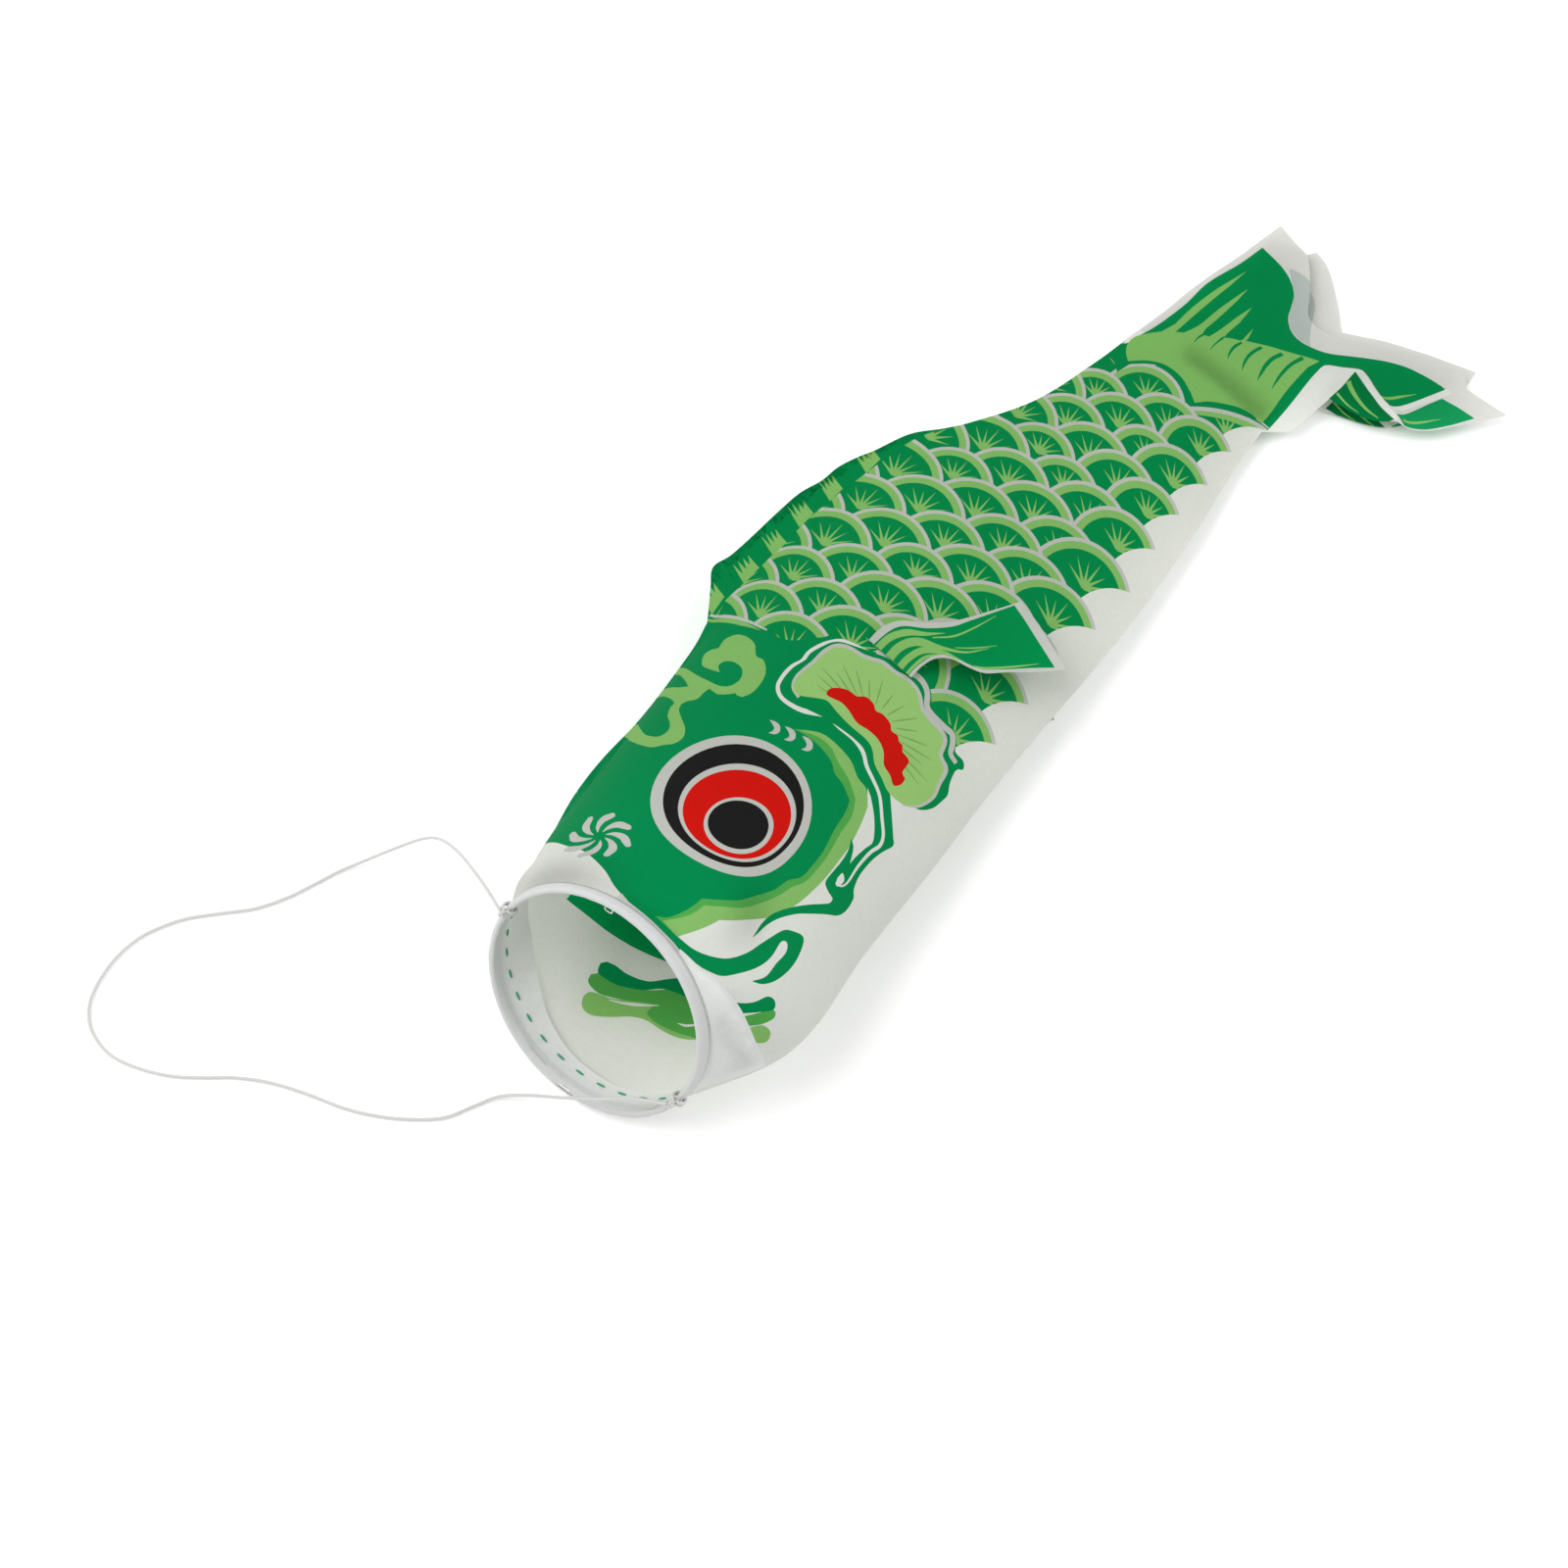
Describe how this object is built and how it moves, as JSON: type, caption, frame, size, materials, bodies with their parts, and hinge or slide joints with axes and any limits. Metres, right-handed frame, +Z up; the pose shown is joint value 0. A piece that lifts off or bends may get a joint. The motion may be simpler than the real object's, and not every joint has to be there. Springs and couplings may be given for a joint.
{
  "type": "carp streamer",
  "caption": "Printed polyester carp streamer lying on its side, with a round hooped mouth, a loop of cord, pectoral fins, a dorsal fin and a forked open tail.",
  "frame": {"origin": "on the surface that the streamer lies on, under the middle of the fish", "axes": "+X towards the tail, +Y towards the back with the dorsal fin, +Z up, out of the printed left side"},
  "size_m": [0.7186, 0.2604, 0.0997],
  "materials": {
    "printed_cloth": "green, light green, white and red print on thin white polyester, satin",
    "white_cloth": "plain thin white polyester",
    "hoop_wire": "drawn wire",
    "sleeve_metal": "crimped tube",
    "green_thread": "sewing thread",
    "white_thread": "sewing thread",
    "bridle_cord": "thin twisted cord"
  },
  "bodies": {
    "fish": {"left_panel": "printed_cloth", "right_panel": "printed_cloth", "dorsal_margin": "printed_cloth", "hoop": "hoop_wire", "hoop_sleeve": "sleeve_metal", "mouth_hem": "white_cloth", "mouth_facing": "white_cloth", "hem_stitches": "green_thread", "rim_thread": "white_thread", "nose_knot": "bridle_cord", "chin_knot": "bridle_cord", "left_fin_stitches": "green_thread", "right_fin_stitches": "green_thread"},
    "tail": {"left_tail": "printed_cloth", "right_tail": "printed_cloth"},
    "left_fin": {"left_fin": "printed_cloth"},
    "right_fin": {"right_fin": "printed_cloth"},
    "bridle": {"bridle_cord": "bridle_cord"}
  },
  "joints": [
    {"name": "left_fin_flap", "type": "hinge", "parent": "fish", "child": "left_fin", "pos_m": [-0.052, 0.002, 0.0453], "axis": [0, -1, 0], "range_deg": [0, 120]},
    {"name": "right_fin_flap", "type": "hinge", "parent": "fish", "child": "right_fin", "pos_m": [-0.052, 0.002, 0.0008], "axis": [0, 1, 0], "range_deg": [0, 120]},
    {"name": "tail_sway", "type": "hinge", "parent": "fish", "child": "tail", "pos_m": [0.185, 0.0125, 0.0143], "axis": [0, -1, 0], "range_deg": [0, 45]},
    {"name": "bridle_swing", "type": "hinge", "parent": "fish", "child": "bridle", "pos_m": [-0.2692, -0.0299, 0.052], "axis": [0.016, 0.9626, 0.2703], "range_deg": [0, 140]}
  ]
}
